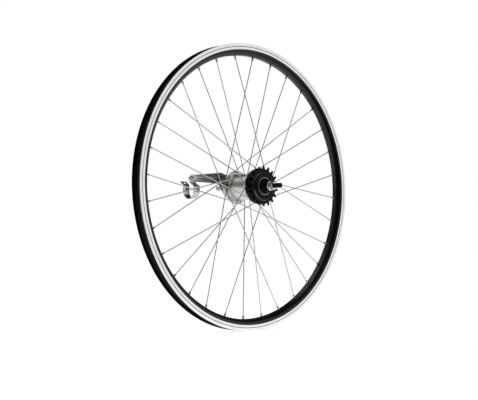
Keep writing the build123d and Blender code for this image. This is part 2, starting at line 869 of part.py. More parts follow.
pieces = {
    "rim": rim,
    "rim_tape": rim_tape,
    "drive_side_spokes": drive_side_spokes,
    "left_side_spokes": left_side_spokes,
    "nipples": nipples,
    "hub_shell": hub_shell,
    "hub_flanges": hub_flanges,
    "ball_ring": ball_ring,
    "hub_cap": hub_cap,
    "axle": axle,
    "right_cone": right_cone,
    "cone_cap": cone_cap,
    "right_locknut": right_locknut,
    "brake_cone": brake_cone,
    "brake_shoes": brake_shoes,
    "shoe_spring": shoe_spring,
    "left_dust_cap": left_dust_cap,
    "brake_arm": brake_arm,
    "left_locknut": left_locknut,
    "axle_washers": axle_washers,
    "axle_nuts": axle_nuts,
    "arm_clip": arm_clip,
    "clip_bolt": clip_bolt,
    "clip_nut": clip_nut,
    "driver": driver,
    "sprocket": sprocket,
    "snap_ring": snap_ring,
    "planet_carrier": planet_carrier,
    "planet_pins": planet_pins,
    "ring_gear": ring_gear,
    "left_balls": left_balls,
    "cone_balls": cone_balls,
    "shell_balls": shell_balls,
    **planets,
}
os.makedirs("parts", exist_ok=True)
for name, piece in pieces.items():
    piece.part.label = name
    export_step(piece.part, f"parts/{name}.step")
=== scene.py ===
from math import cos, pi, radians, sin, sqrt, tan

import bpy
from mathutils import Matrix, Vector


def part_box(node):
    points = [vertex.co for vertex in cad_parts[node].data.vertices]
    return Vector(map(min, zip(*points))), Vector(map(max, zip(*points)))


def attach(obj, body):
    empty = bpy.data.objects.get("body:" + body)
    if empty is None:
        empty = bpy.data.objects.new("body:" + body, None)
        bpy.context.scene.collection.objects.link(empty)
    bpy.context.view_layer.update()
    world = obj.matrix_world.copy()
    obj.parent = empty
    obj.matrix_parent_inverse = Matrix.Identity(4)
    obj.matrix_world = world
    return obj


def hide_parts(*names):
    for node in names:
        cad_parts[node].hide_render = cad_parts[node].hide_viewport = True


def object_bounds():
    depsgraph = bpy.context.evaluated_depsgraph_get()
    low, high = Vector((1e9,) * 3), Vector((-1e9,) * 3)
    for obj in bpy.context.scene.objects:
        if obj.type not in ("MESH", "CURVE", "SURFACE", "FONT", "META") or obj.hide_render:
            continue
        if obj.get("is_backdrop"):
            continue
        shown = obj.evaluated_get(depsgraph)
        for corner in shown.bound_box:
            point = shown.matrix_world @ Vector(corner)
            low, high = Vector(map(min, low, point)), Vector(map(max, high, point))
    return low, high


# A rear bicycle wheel without its tyre. The axle lies along Y with the sprocket on the -Y side, Z is up
# and the origin is the middle of the axle. Angles go from +X towards +Z, seen from the sprocket side.
# The sizes of the pieces are in millimetres, and mm turns them into the frame's metres.
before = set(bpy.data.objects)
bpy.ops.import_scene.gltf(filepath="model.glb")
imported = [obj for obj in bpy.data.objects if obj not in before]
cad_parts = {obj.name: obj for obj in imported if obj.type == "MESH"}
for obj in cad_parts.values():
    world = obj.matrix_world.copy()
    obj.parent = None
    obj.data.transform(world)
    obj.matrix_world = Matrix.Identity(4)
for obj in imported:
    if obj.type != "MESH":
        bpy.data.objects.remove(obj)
cad_low, cad_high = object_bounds()
mm = 0.001


# Rim: an aluminium extrusion rolled into a hoop. It is anodised black, then its two brake tracks are
# turned bright, and a fine black groove in each track shows its wear.
weld_reach = 0.002
smooth_below = 30
hair = 0.01


def start_fresh():
    """Leave edit mode and select nothing, so that an operator acts on the new piece alone."""
    if bpy.context.object and bpy.context.object.mode != "OBJECT":
        bpy.ops.object.mode_set(mode="OBJECT")
    bpy.ops.object.select_all(action="DESELECT")


def on_circle(radius, angle, place=0.0):
    """Point on a circle round the axle."""
    return Vector((radius * cos(radians(angle)), place, radius * sin(radians(angle))))


def loop(name, points):
    """Closed loop of edges through the points, left selected in edit mode."""
    start_fresh()
    bpy.ops.mesh.primitive_circle_add(vertices=len(points), fill_type="NOTHING")
    piece = bpy.context.object
    piece.name = name
    for vertex, point in zip(piece.data.vertices, points):
        vertex.co = point
    bpy.ops.object.mode_set(mode="EDIT")
    bpy.ops.mesh.select_all(action="SELECT")
    return piece


def eased(corners, segments=4):
    """Outline with round corners, in metres. Each corner is (radius, place, rounding) in millimetres."""
    outline = []
    for i, (radius, place, rounding) in enumerate(corners):
        here = Vector((radius, place))
        if not rounding:
            outline.append(here)
            continue
        back = (Vector(corners[i - 1][:2]) - here).normalized()
        ahead = (Vector(corners[(i + 1) % len(corners)][:2]) - here).normalized()
        half = back.angle(ahead) / 2
        centre = here + (back + ahead).normalized() * rounding / sin(half)
        first = here + back * rounding / tan(half) - centre
        last = here + ahead * rounding / tan(half) - centre
        outline += [centre + first.slerp(last, k / segments) * rounding for k in range(segments + 1)]
    return [(point.x * mm, point.y * mm) for point in outline]


def close_skin(smooth_angle=smooth_below):
    """Merge the seam of the active mesh, face it outwards and shade its round stretches smooth."""
    bpy.ops.object.mode_set(mode="EDIT")
    bpy.ops.mesh.select_all(action="SELECT")
    bpy.ops.mesh.remove_doubles(threshold=weld_reach * mm)
    bpy.ops.mesh.normals_make_consistent(inside=False)
    bpy.ops.object.mode_set(mode="OBJECT")
    bpy.ops.object.shade_smooth_by_angle(angle=radians(smooth_angle))


def turned(name, corners, steps, smooth_angle=smooth_below):
    """Body of revolution about the axle from a closed outline of corners."""
    piece = loop(name, [(radius, place, 0) for radius, place in eased(corners)])
    bpy.ops.mesh.spin(steps=steps, angle=2 * pi, center=(0, 0, 0), axis=(0, 1, 0))
    close_skin(smooth_angle)
    return piece


def combine(piece, other, how, smooth_angle=smooth_below):
    """Cut, join or intersect a piece with another one, which is used up."""
    start_fresh()
    piece.select_set(True)
    bpy.context.view_layer.objects.active = piece
    change = piece.modifiers.new(how.lower(), "BOOLEAN")
    change.operation = how
    change.solver = "EXACT"
    change.object = other
    bpy.ops.object.modifier_apply(modifier=change.name)
    bpy.data.objects.remove(other)
    close_skin(smooth_angle)


def join(name, pieces):
    """Make one object of several, with its origin at the frame's."""
    start_fresh()
    for piece in pieces:
        piece.select_set(True)
    bpy.context.view_layer.objects.active = pieces[0]
    bpy.ops.object.join()
    bpy.ops.object.transform_apply(location=True, rotation=True, scale=True)
    pieces[0].name = name
    return pieces[0]


def drill(radius, low, high, angle, sides=24):
    """Cylinder along a radius of the wheel, between two distances from the axle, that cuts a hole."""
    start_fresh()
    bpy.ops.mesh.primitive_cylinder_add(
        vertices=sides,
        radius=radius * mm,
        depth=(high - low) * mm,
        location=on_circle((low + high) / 2 * mm, angle),
        rotation=(0, radians(90 - angle), 0),
    )
    return bpy.context.object


def stands_for(piece, node, body):
    """Let a piece ride on its body in place of a solid of the frame."""
    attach(piece, body)
    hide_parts(node)


def grey(value):
    """Colour with equal shares of red, green and blue."""
    return (value, value, value)


def surface(name, dark, light, scale, rough, metallic=1.0, specular=0.5):
    """Material whose colour and roughness drift, as plating, oil and handling make them."""
    material = bpy.data.materials.new(name)
    material.use_nodes = True
    tree = material.node_tree
    shader = tree.nodes["Principled BSDF"]
    middle = (Vector(dark) + Vector(light)) / 2
    shader.inputs["Base Color"].default_value = (*middle, 1)
    shader.inputs["Roughness"].default_value = sum(rough) / 2
    shader.inputs["Metallic"].default_value = metallic
    shader.inputs["Specular IOR Level"].default_value = specular
    place = tree.nodes.new("ShaderNodeTexCoord")
    cloud = tree.nodes.new("ShaderNodeTexNoise")
    cloud.inputs["Scale"].default_value = scale
    cloud.inputs["Detail"].default_value = 5
    tint = tree.nodes.new("ShaderNodeValToRGB")
    tint.color_ramp.elements[0].position = 0.35
    tint.color_ramp.elements[0].color = (*dark, 1)
    tint.color_ramp.elements[1].position = 0.65
    tint.color_ramp.elements[1].color = (*light, 1)
    spread = tree.nodes.new("ShaderNodeMapRange")
    spread.inputs["From Min"].default_value = 0.3
    spread.inputs["From Max"].default_value = 0.7
    spread.inputs["To Min"].default_value = rough[0]
    spread.inputs["To Max"].default_value = rough[1]
    tree.links.new(place.outputs["Object"], cloud.inputs["Vector"])
    tree.links.new(cloud.outputs["Fac"], tint.inputs["Fac"])
    tree.links.new(cloud.outputs["Fac"], spread.inputs["Value"])
    tree.links.new(tint.outputs["Color"], shader.inputs["Base Color"])
    tree.links.new(spread.outputs["Result"], shader.inputs["Roughness"])
    return material


def lathe_lines(material, pitch, strength):
    """Fine rings left by a turning tool: noise that changes with the radius and along the axle."""
    tree = material.node_tree
    place = tree.nodes.new("ShaderNodeTexCoord")
    flat = tree.nodes.new("ShaderNodeVectorMath")
    flat.operation = "MULTIPLY"
    flat.inputs[1].default_value = (1, 0, 1)
    radius = tree.nodes.new("ShaderNodeVectorMath")
    radius.operation = "LENGTH"
    split = tree.nodes.new("ShaderNodeSeparateXYZ")
    along = tree.nodes.new("ShaderNodeMath")
    along.operation = "ADD"
    rings = tree.nodes.new("ShaderNodeTexNoise")
    rings.noise_dimensions = "1D"
    rings.inputs["Scale"].default_value = 1 / (pitch * mm)
    rings.inputs["Detail"].default_value = 3
    bump = tree.nodes.new("ShaderNodeBump")
    bump.inputs["Strength"].default_value = strength
    bump.inputs["Distance"].default_value = pitch * mm
    tree.links.new(place.outputs["Object"], flat.inputs[0])
    tree.links.new(flat.outputs["Vector"], radius.inputs[0])
    tree.links.new(place.outputs["Object"], split.inputs["Vector"])
    tree.links.new(radius.outputs["Value"], along.inputs[0])
    tree.links.new(split.outputs["Y"], along.inputs[1])
    tree.links.new(along.outputs["Value"], rings.inputs["W"])
    tree.links.new(rings.outputs["Fac"], bump.inputs["Height"])
    tree.links.new(bump.outputs["Normal"], tree.nodes["Principled BSDF"].inputs["Normal"])


def grain(material, scale, strength, depth):
    """Fine pits or orange peel of a moulded, painted or plated surface."""
    tree = material.node_tree
    place = tree.nodes.new("ShaderNodeTexCoord")
    pits = tree.nodes.new("ShaderNodeTexNoise")
    pits.inputs["Scale"].default_value = scale
    pits.inputs["Detail"].default_value = 3
    bump = tree.nodes.new("ShaderNodeBump")
    bump.inputs["Strength"].default_value = strength
    bump.inputs["Distance"].default_value = depth * mm
    tree.links.new(place.outputs["Object"], pits.inputs["Vector"])
    tree.links.new(pits.outputs["Fac"], bump.inputs["Height"])
    tree.links.new(bump.outputs["Normal"], tree.nodes["Principled BSDF"].inputs["Normal"])


def flank(start, end, radius, count):
    """Points on the bulging arc from the rim's floor to its brake track, ends left out."""
    first, last = Vector(start), Vector(end)
    chord = last - first
    outward = Vector((-chord.y, chord.x)).normalized()
    if outward.x > 0:
        outward = -outward
    centre = (first + last) / 2 - outward * sqrt(radius**2 - chord.length_squared / 4)
    arc = [centre + (first - centre).slerp(last - centre, k / count) * radius for k in range(1, count)]
    return [(point.x, point.y, 0) for point in arc]


rim_radius = 286.0
rim_half = 12.0
rim_depth = 23.0
half_floor = 4.5
flank_radius = 16.0
flank_steps = 6
track_height = 11.6
lip_width = 1.6
bead_depth = 6.5
bead_width = 3.0
well_depth = 9.0
well_slope = 1.0
rim_floor = rim_radius - rim_depth
track_foot = rim_radius - track_height
bead_seat = rim_radius - bead_depth
well_floor = rim_radius - well_depth
lip = rim_half - lip_width
well_half = lip - bead_width
groove_radius = 279.7
groove_half = 0.6
groove_depth = 0.5
track_skin = 0.6
rim_steps = 288
rim_smooth = 22
spoke_count = 32
first_spoke_angle = 98.2
spoke_pitch = 360 / spoke_count
nipple_hole = 2.6
nipple_hole_low = rim_floor - 2.0
nipple_hole_high = rim_floor + 4.0
valve_angle = 295.05
valve_hole = 4.25
valve_hole_low = rim_floor - 4.0
valve_hole_high = rim_radius - 4.0
valve_sides = 32

half_section = [
    (rim_floor, half_floor, 0.8),
    *flank((rim_floor, half_floor), (track_foot, rim_half), flank_radius, flank_steps),
    (track_foot, rim_half, 0),
    (groove_radius - groove_half, rim_half, 0),
    (groove_radius - groove_half / 2, rim_half - groove_depth, 0),
    (groove_radius + groove_half / 2, rim_half - groove_depth, 0),
    (groove_radius + groove_half, rim_half, 0),
    (rim_radius, rim_half, 0.45),
    (rim_radius, lip, 0.45),
    (bead_seat, lip, 0.4),
    (bead_seat, well_half, 0.5),
    (well_floor, well_half - well_slope, 0.5),
]
other_half = [(radius, -place, rounding) for radius, place, rounding in reversed(half_section)]
rim = turned("rim_hoop", half_section + other_half, steps=rim_steps, smooth_angle=rim_smooth)
holes = [
    drill(nipple_hole, nipple_hole_low, nipple_hole_high, first_spoke_angle - spoke_pitch * i)
    for i in range(spoke_count)
]
holes.append(drill(valve_hole, valve_hole_low, valve_hole_high, valve_angle, valve_sides))
combine(rim, join("rim_holes", holes), "DIFFERENCE", smooth_angle=rim_smooth)

rim_black = surface(
    "rim_black_anodised",
    grey(0.002),
    grey(0.004),
    scale=35,
    rough=(0.17, 0.25),
    metallic=0.0,
    specular=0.34,
)
grain(rim_black, scale=2600, strength=0.08, depth=0.02)
track_bright = surface(
    "rim_track_turned", (0.82, 0.82, 0.81), (0.90, 0.90, 0.89), scale=28, rough=(0.24, 0.32)
)
lathe_lines(track_bright, pitch=0.25, strength=0.15)
rim.data.materials.append(rim_black)
rim.data.materials.append(track_bright)
for face in rim.data.polygons:
    out = Vector((face.center.x, face.center.z)).length / mm
    side = abs(face.center.y) / mm
    in_groove = abs(out - groove_radius) < groove_half and side < rim_half - hair
    on_track = out > track_foot and side > rim_half - track_skin and not in_groove
    face.material_index = 1 if on_track else 0
stands_for(rim, "rim", "wheel")


# Rim tape: a thin black plastic band stretched over the floor of the well. It keeps the inner tube off the
# spoke holes, and has one hole of its own for the valve.
tape_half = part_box("rim_tape")[1].y / mm
tape_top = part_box("rim_tape")[1].z / mm
tape = turned(
    "rim_tape_band",
    [
        (well_floor, -tape_half, 0),
        (tape_top, -tape_half, 0.3),
        (tape_top, tape_half, 0.3),
        (well_floor, tape_half, 0),
    ],
    steps=rim_steps,
)
combine(tape, drill(valve_hole, valve_hole_low, valve_hole_high, valve_angle, valve_sides), "DIFFERENCE")
tape_black = surface(
    "tape_black", grey(0.008), grey(0.013), scale=60, rough=(0.2, 0.3), metallic=0.0, specular=0.9
)
grain(tape_black, scale=1400, strength=0.1, depth=0.05)
tape.data.materials.append(tape_black)
stands_for(tape, "rim_tape", "wheel")


# Spokes: drawn stainless wire, bent at the hub into an elbow with a cold formed button head. Each one
# crosses three others of its own flange, and the pattern of four spokes repeats eight times.
def pick(piece, part, chosen):
    """Select the vertices, edges or faces that a test chooses, and stay in edit mode."""
    bpy.ops.object.mode_set(mode="EDIT")
    bpy.ops.mesh.select_mode(type=part)
    bpy.ops.mesh.select_all(action="DESELECT")
    bpy.ops.object.mode_set(mode="OBJECT")
    parts = {"VERT": piece.data.vertices, "EDGE": piece.data.edges, "FACE": piece.data.polygons}
    for element in parts[part]:
        element.select = chosen(element)
    bpy.ops.object.mode_set(mode="EDIT")


def wire(name, points, radius, bend, sides):
    """Round wire through three points of the frame, with an eased bend at the middle one."""
    piece = loop(name, points)
    pick(piece, "EDGE", lambda edge: set(edge.vertices) == {0, 2})
    bpy.ops.mesh.delete(type="EDGE")
    pick(piece, "VERT", lambda vertex: vertex.index == 1)
    bpy.ops.mesh.bevel(offset=bend * mm, segments=5, affect="VERTICES")
    bpy.ops.object.mode_set(mode="OBJECT")
    bpy.ops.object.convert(target="CURVE")
    piece.data.bevel_depth = radius * mm
    piece.data.bevel_resolution = sides // 2 - 2
    piece.data.use_fill_caps = True
    bpy.ops.object.convert(target="MESH")
    close_skin(smooth_angle=50)
    return piece


def copies(piece, moves):
    """The piece and one copy of it for each move, every copy with its own mesh."""
    made = [piece]
    for move in moves:
        copy = piece.copy()
        copy.data = piece.data.copy()
        copy.data.transform(move)
        bpy.context.collection.objects.link(copy)
        made.append(copy)
    return made


crossings = 3
lacing_turn = crossings * 2 * spoke_pitch
drive_flange = -24.0
left_flange = 33.0
flange_half = 1.6
spoke_circle = 30.0
floor_wall = 1.6
nipple_seat = rim_floor + floor_wall / 2
wire_radius = 1.0
wire_sides = 12
wire_end = 2.6
elbow_inside = 1.3
elbow_outside = 2.7
elbow_bend = 2.4
head_radius = 1.9
head_height = 1.2
head_side = head_height * 0.45
head_crown = head_radius * 0.55
pattern = 4


def spoke_run(i):
    """Head, elbow and rim points of a spoke, and the way along the axle in which it leaves its flange."""
    rim_angle = first_spoke_angle - spoke_pitch * i
    flange = left_flange if i % 2 else drive_flange
    turned_by = lacing_turn if i % pattern in (1, 2) else -lacing_turn
    leaves = 1 if turned_by > 0 else -1
    room = elbow_inside if leaves * flange < 0 else elbow_outside
    hole = rim_angle + turned_by
    head = on_circle(spoke_circle * mm, hole, (flange - leaves * flange_half) * mm)
    elbow = on_circle(spoke_circle * mm, hole, (flange + leaves * (flange_half + room)) * mm)
    return head, elbow, on_circle(nipple_seat * mm, rim_angle), leaves


spoke_sets = {"drive_side_spokes": [], "left_side_spokes": []}
pattern_turn = radians(spoke_pitch * pattern)
turns = [Matrix.Rotation(pattern_turn * k, 4, "Y") for k in range(1, spoke_count // pattern)]
for i in range(pattern):
    head, elbow, seat, leaves = spoke_run(i)
    end = seat + (seat - elbow).normalized() * wire_end * mm
    strand = wire("spoke_wire", [head, elbow, end], wire_radius, elbow_bend, wire_sides)
    button = turned(
        "spoke_head",
        [
            (0, 0, 0),
            (head_radius, 0, 0),
            (head_radius, -leaves * head_side, 0.35),
            (head_crown, -leaves * head_height, 0.5),
            (0, -leaves * head_height, 0),
        ],
        steps=16,
    )
    button.data.transform(Matrix.Translation(head))
    one = join("spoke", [strand, button])
    node = "left_side_spokes" if i % 2 else "drive_side_spokes"
    spoke_sets[node] += copies(one, turns)
spoke_steel = surface("spoke_steel", grey(0.44), grey(0.56), scale=90, rough=(0.18, 0.3))
grain(spoke_steel, scale=3000, strength=0.1, depth=0.02)
for node, strands in spoke_sets.items():
    spokes = join(node.replace("spokes", "wires"), strands)
    spokes.data.materials.append(spoke_steel)
    stands_for(spokes, node, "wheel")


# Nipples: long nickel plated nuts. A round head sits inside the rim's floor, and a square shank shows
# below it, which the spoke key turns to pull the wire tight.
def block(size, place):
    """Box of a size along the three axes, round a place."""
    start_fresh()
    bpy.ops.mesh.primitive_cube_add(size=1)
    piece = bpy.context.object
    piece.data.transform(Matrix.Diagonal([*(length * mm for length in size), 1]))
    piece.data.transform(Matrix.Translation([step * mm for step in place]))
    return piece


nipple_across = 3.3
nipple_square = 6.2
nipple_shank = 8.0
nipple_edge = 0.45
nipple_neck = 1.95
nipple_head = 2.9
neck_overlap = 0.6
neck_foot = nipple_square - nipple_shank - neck_overlap
neck_top = 1.5
head_top = 3.7
wire_hole = 1.15
cut_room = 1.0
shank = block((nipple_across, nipple_square, nipple_across), (0, nipple_square / 2 - nipple_shank, 0))
pick(shank, "EDGE", lambda edge: True)
bpy.ops.mesh.bevel(offset=nipple_edge * mm, segments=2, affect="EDGES")
close_skin()
neck = turned(
    "nipple_neck",
    [
        (0, neck_foot, 0),
        (nipple_neck, neck_foot, 0.2),
        (nipple_neck, neck_top, 0),
        (nipple_head, neck_top, 0.3),
        (nipple_head, head_top, 0.5),
        (0, head_top, 0),
    ],
    steps=20,
)
combine(shank, neck, "UNION")
bore = turned(
    "nipple_bore",
    [
        (0, -nipple_shank - cut_room, 0),
        (wire_hole, -nipple_shank - cut_room, 0),
        (wire_hole, head_top + cut_room, 0),
        (0, head_top + cut_room, 0),
    ],
    steps=16,
)
combine(shank, bore, "DIFFERENCE")
places = []
for i in range(spoke_count):
    _, elbow, seat, _ = spoke_run(i)
    lie = Vector((0, 1, 0)).rotation_difference(seat - elbow).to_matrix().to_4x4()
    places.append(Matrix.Translation(seat) @ lie)
nipple_pieces = copies(shank, places)
bpy.data.objects.remove(nipple_pieces.pop(0))
nipples = join("nipple_set", nipple_pieces)
nickel = surface(
    "nipple_nickel", (0.24, 0.238, 0.232), (0.36, 0.358, 0.35), scale=120, rough=(0.18, 0.28)
)
grain(nickel, scale=2500, strength=0.12, depth=0.03)
nipples.data.materials.append(nickel)
stands_for(nipples, "nipples", "wheel")


# Hub shell: a turned aluminium barrel with a shoulder for each flange. Its drive end is a collar under the
# black cap, and its left end holds the brake drum and a bearing cup.
barrel_radius = 25.0
barrel_bore = 22.6
collar_radius = 27.0
collar_bore = 23.5
collar_floor = -28.4
shoulder_radius = 27.6
shoulder = 2.6
left_radius = 22.5
left_cup_radius = 14.4
drum_radius = 20.0
drum_start = 17.5
drum_end = 41.5
collar_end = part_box("hub_shell")[0].y / mm
left_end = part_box("hub_shell")[1].y / mm
hub_shell = turned(
    "hub_barrel",
    [
        (collar_radius, collar_end, 0.4),
        (collar_radius, drive_flange + flange_half, 0),
        (shoulder_radius, drive_flange + flange_half, 0.2),
        (barrel_radius, drive_flange + flange_half + shoulder, 2.5),
        (barrel_radius, left_flange - flange_half - shoulder, 2.5),
        (shoulder_radius, left_flange - flange_half, 0.2),
        (barrel_radius, left_flange - flange_half, 0),
        (barrel_radius, left_flange + flange_half, 0),
        (left_radius, left_flange + flange_half + shoulder, 2.0),
        (left_radius, left_end, 0.6),
        (left_cup_radius, left_end, 0.4),
        (left_cup_radius, drum_end, 0),
        (drum_radius, drum_end, 0),
        (drum_radius, drum_start, 0),
        (barrel_bore, drum_start, 0),
        (barrel_bore, collar_floor, 0),
        (collar_bore, collar_floor, 0),
        (collar_bore, collar_end, 0),
    ],
    steps=128,
)
hub_alloy = surface("hub_alloy", (0.52, 0.51, 0.49), (0.66, 0.65, 0.63), scale=45, rough=(0.24, 0.36))
lathe_lines(hub_alloy, pitch=0.3, strength=0.2)
hub_shell.data.materials.append(hub_alloy)
stands_for(hub_shell, "hub_shell", "wheel")


# Hub flanges: two drilled aluminium rings pressed on the shell, with rounded rims. Every spoke hangs in one
# of their holes, and each ring has sixteen.
flange_radius = 34.0
spoke_hole = 1.35
flange_rings = []
for flange, seat_radius in ((drive_flange, collar_radius), (left_flange, barrel_radius)):
    flange_outline = [
        (seat_radius, flange - flange_half, 0.2),
        (flange_radius, flange - flange_half, 0.8),
        (flange_radius, flange + flange_half, 0.8),
        (seat_radius, flange + flange_half, 0.2),
    ]
    flange_rings.append(turned("flange_ring", flange_outline, steps=96))
hub_flanges = join("flange_pair", flange_rings)
spoke_holes = []
for flange, turned_by in ((drive_flange, -lacing_turn), (left_flange, lacing_turn - spoke_pitch)):
    for k in range(spoke_count // 2):
        hole_angle = first_spoke_angle + turned_by + 2 * spoke_pitch * k
        start_fresh()
        bpy.ops.mesh.primitive_cylinder_add(
            vertices=16,
            radius=spoke_hole * mm,
            depth=4 * flange_half * mm,
            location=on_circle(spoke_circle * mm, hole_angle, flange * mm),
            rotation=(pi / 2, 0, 0),
        )
        spoke_holes.append(bpy.context.object)
combine(hub_flanges, join("flange_holes", spoke_holes), "DIFFERENCE")
hub_flanges.data.materials.append(hub_alloy)
stands_for(hub_flanges, "hub_flanges", "wheel")


# Hub cap: a black pressed cup over the drive end of the shell. It turns with the shell and keeps dirt out
# of the wide bearing behind the sprocket.
cap_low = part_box("hub_cap")[0].y / mm
cap_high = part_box("hub_cap")[1].y / mm
cap_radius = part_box("hub_cap")[1].z / mm
cap_bore = 21.0
cap_bevel = 1.2
cap_wall = 1.4
hub_cap = turned(
    "hub_cap_cup",
    [
        (cap_bore, cap_low, 0.3),
        (cap_radius - cap_bevel, cap_low, 0.8),
        (cap_radius, cap_low + cap_bevel, 0.8),
        (cap_radius, cap_high, 0.3),
        (cap_radius - cap_wall, cap_high, 0.3),
        (cap_radius - cap_wall, collar_end, 0.6),
        (cap_bore, collar_end, 0.3),
    ],
    steps=96,
)
cap_black = surface(
    "cap_black", grey(0.002), grey(0.005), scale=60, rough=(0.2, 0.32), metallic=0.0, specular=0.05
)
grain(cap_black, scale=1800, strength=0.15, depth=0.03)
hub_cap.data.materials.append(cap_black)
stands_for(hub_cap, "hub_cap", "wheel")


# Axle: a steel rod, threaded at both ends and chamfered, with the fixed sun gear cut on its middle inside
# the hub. It is blackened, except for its left end.
def gear(name, outline, low, high):
    """Straight sided body from an outline of (x, z) points, between two places along the axle."""
    piece = loop(name, [(x * mm, low * mm, z * mm) for x, z in outline])
    bpy.ops.mesh.edge_face_add()
    bpy.ops.mesh.extrude_region_move(TRANSFORM_OT_translate={"value": (0, (high - low) * mm, 0)})
    close_skin()
    return piece


axle_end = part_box("axle")[1].y / mm
axle_radius = 4.75
axle_smooth = 25
groove_start = 75.0
free_end = 76.5
groove_floor = 4.25
end_cone = 1.0
thread_root = 4.4
thread_pitch = 1.0
thread_profile = ((axle_radius, 0.1), (axle_radius, 0.3), (thread_root, 0.7))
crests = int((axle_end - end_cone - free_end) / thread_pitch)
thread = [
    (radius, free_end + thread_pitch * (k + share), 0)
    for k in range(crests)
    for radius, share in thread_profile
]
half_axle = [
    (axle_radius, groove_start, 0),
    (groove_floor, groove_start, 0),
    (groove_floor, free_end, 0),
    *thread,
    (axle_radius, axle_end - end_cone, 0),
    (axle_radius - end_cone, axle_end, 0),
    (0, axle_end, 0),
]
other_end = [(radius, -place, rounding) for radius, place, rounding in reversed(half_axle)]
axle = turned("axle_rod", other_end + half_axle, steps=40, smooth_angle=axle_smooth)
sun_teeth = 15
sun_pitch = 360 / sun_teeth
sun_start = 90 + 180 / sun_teeth
sun_half = 6.5
sun_root = 6.28
sun_tip = 8.12
root_swing = 6.5
tip_swing = 2.9
sun_tooth = ((sun_root, -root_swing), (sun_tip, -tip_swing), (sun_tip, tip_swing), (sun_root, root_swing))
sun_outline = []
for k in range(sun_teeth):
    for radius, swing in sun_tooth:
        spot = on_circle(radius, sun_start + sun_pitch * k + swing)
        sun_outline.append((spot.x, spot.z))
combine(axle, gear("sun_gear", sun_outline, -sun_half, sun_half), "UNION", smooth_angle=axle_smooth)
axle_black = surface(
    "axle_blackened", grey(0.005), grey(0.014), scale=160, rough=(0.26, 0.4), metallic=0.6, specular=0.2
)
grain(axle_black, scale=2200, strength=0.12, depth=0.03)
axle_plain = surface(
    "axle_plain_steel", (0.48, 0.48, 0.47), (0.6, 0.6, 0.59), scale=160, rough=(0.2, 0.3)
)
grain(axle_plain, scale=2200, strength=0.06, depth=0.03)
axle.data.materials.append(axle_black)
axle.data.materials.append(axle_plain)
for face in axle.data.polygons:
    face.material_index = 1 if face.center.y > groove_start * mm else 0
stands_for(axle, "axle", "axle_set")


# Driver: the hardened sleeve that the sprocket sits on. Only its blackened end and the three slots for the
# sprocket's tabs show, and the rest runs inside the hub.
flat_below = 0.5
sharp_above = 35


def softened(node, name, width):
    """Copy of a solid's mesh, with its triangles joined into faces and its sharp edges rounded."""
    start_fresh()
    piece = bpy.data.objects.new(name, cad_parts[node].data.copy())
    piece.data.materials.clear()
    bpy.context.collection.objects.link(piece)
    piece.select_set(True)
    bpy.context.view_layer.objects.active = piece
    bpy.ops.object.mode_set(mode="EDIT")
    bpy.ops.mesh.select_all(action="SELECT")
    bpy.ops.mesh.remove_doubles(threshold=weld_reach * mm)
    bpy.ops.mesh.dissolve_limited(angle_limit=radians(flat_below))
    bpy.ops.object.mode_set(mode="OBJECT")
    edge = piece.modifiers.new("edges", "BEVEL")
    edge.width = width * mm
    edge.segments = 2
    edge.limit_method = "ANGLE"
    edge.angle_limit = radians(sharp_above)
    bpy.ops.object.modifier_apply(modifier=edge.name)
    bpy.ops.object.shade_smooth_by_angle(angle=radians(smooth_below))
    return piece


driver = softened("driver", "driver_sleeve", width=0.25)
driver_black = surface(
    "driver_blackened", grey(0.005), grey(0.014), scale=110, rough=(0.28, 0.42), metallic=0.6, specular=0.2
)
lathe_lines(driver_black, pitch=0.3, strength=0.2)
driver.data.materials.append(driver_black)
stands_for(driver, "driver", "driver_set")


# Sprocket: stamped from black steel plate, with eighteen narrow teeth for half inch chain. Its middle is
# raised, and the sloped edge of the raised middle is painted a brighter metal colour as a highlight.
sprocket_teeth = 18
half_tooth = 180 / sprocket_teeth
chain_pitch = 12.7
pitch_radius = chain_pitch / 2 / sin(pi / sprocket_teeth)
roller_seat = 4.0
seat_steps = 8
tooth_height = 3.25
tooth_gap = 11.8
tip_drop = 0.4
flank_drop = 1.2
flank_step = 0.6
sprocket_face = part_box("sprocket")[0].y / mm
sprocket_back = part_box("sprocket")[1].y / mm
boss_radius = 28.5
boss_height = 0.8
boss_overlap = 0.5
plate_face = sprocket_face + boss_height
bore_radius = 15.95
tab_count = 3
tab_width = 5.7
tab_depth = 1.45
tab_length = 10.0
highlight_ring_width = 1.2
upright = 0.2
level = 0.98
gap_side = [(tooth_height - tip_drop, tooth_gap / 2), (tooth_height - flank_drop, tooth_gap / 2 - flank_step)]
gap_points = [(up, -side) for up, side in gap_side]
for k in range(seat_steps + 1):
    swing = radians(-90 - 180 / seat_steps * k)
    gap_points.append((roller_seat * cos(swing), roller_seat * sin(swing)))
gap_points += reversed(gap_side)
sprocket_outline = []
for k in range(sprocket_teeth):
    middle = 90 + half_tooth * (2 * k + 1)
    out = on_circle(1, middle)
    along = on_circle(1, middle + 90)
    for up, side in gap_points:
        spot = out * (pitch_radius + up) + along * side
        sprocket_outline.append((spot.x, spot.z))
    tip = on_circle(pitch_radius + tooth_height, middle + half_tooth)
    sprocket_outline.append((tip.x, tip.z))
sprocket = gear("sprocket_plate", sprocket_outline, plate_face, sprocket_back)
boss = turned(
    "sprocket_boss",
    [
        (0, plate_face + boss_overlap, 0),
        (boss_radius, plate_face + boss_overlap, 0),
        (boss_radius, plate_face, 0),
        (boss_radius - boss_height, sprocket_face, 0.25),
        (0, sprocket_face, 0),
    ],
    steps=96,
)
combine(sprocket, boss, "UNION")
centre_hole = turned(
    "sprocket_bore",
    [
        (0, sprocket_face - cut_room, 0),
        (bore_radius, sprocket_face - cut_room, 0),
        (bore_radius, sprocket_back + cut_room, 0),
        (0, sprocket_back + cut_room, 0),
    ],
    steps=96,
)
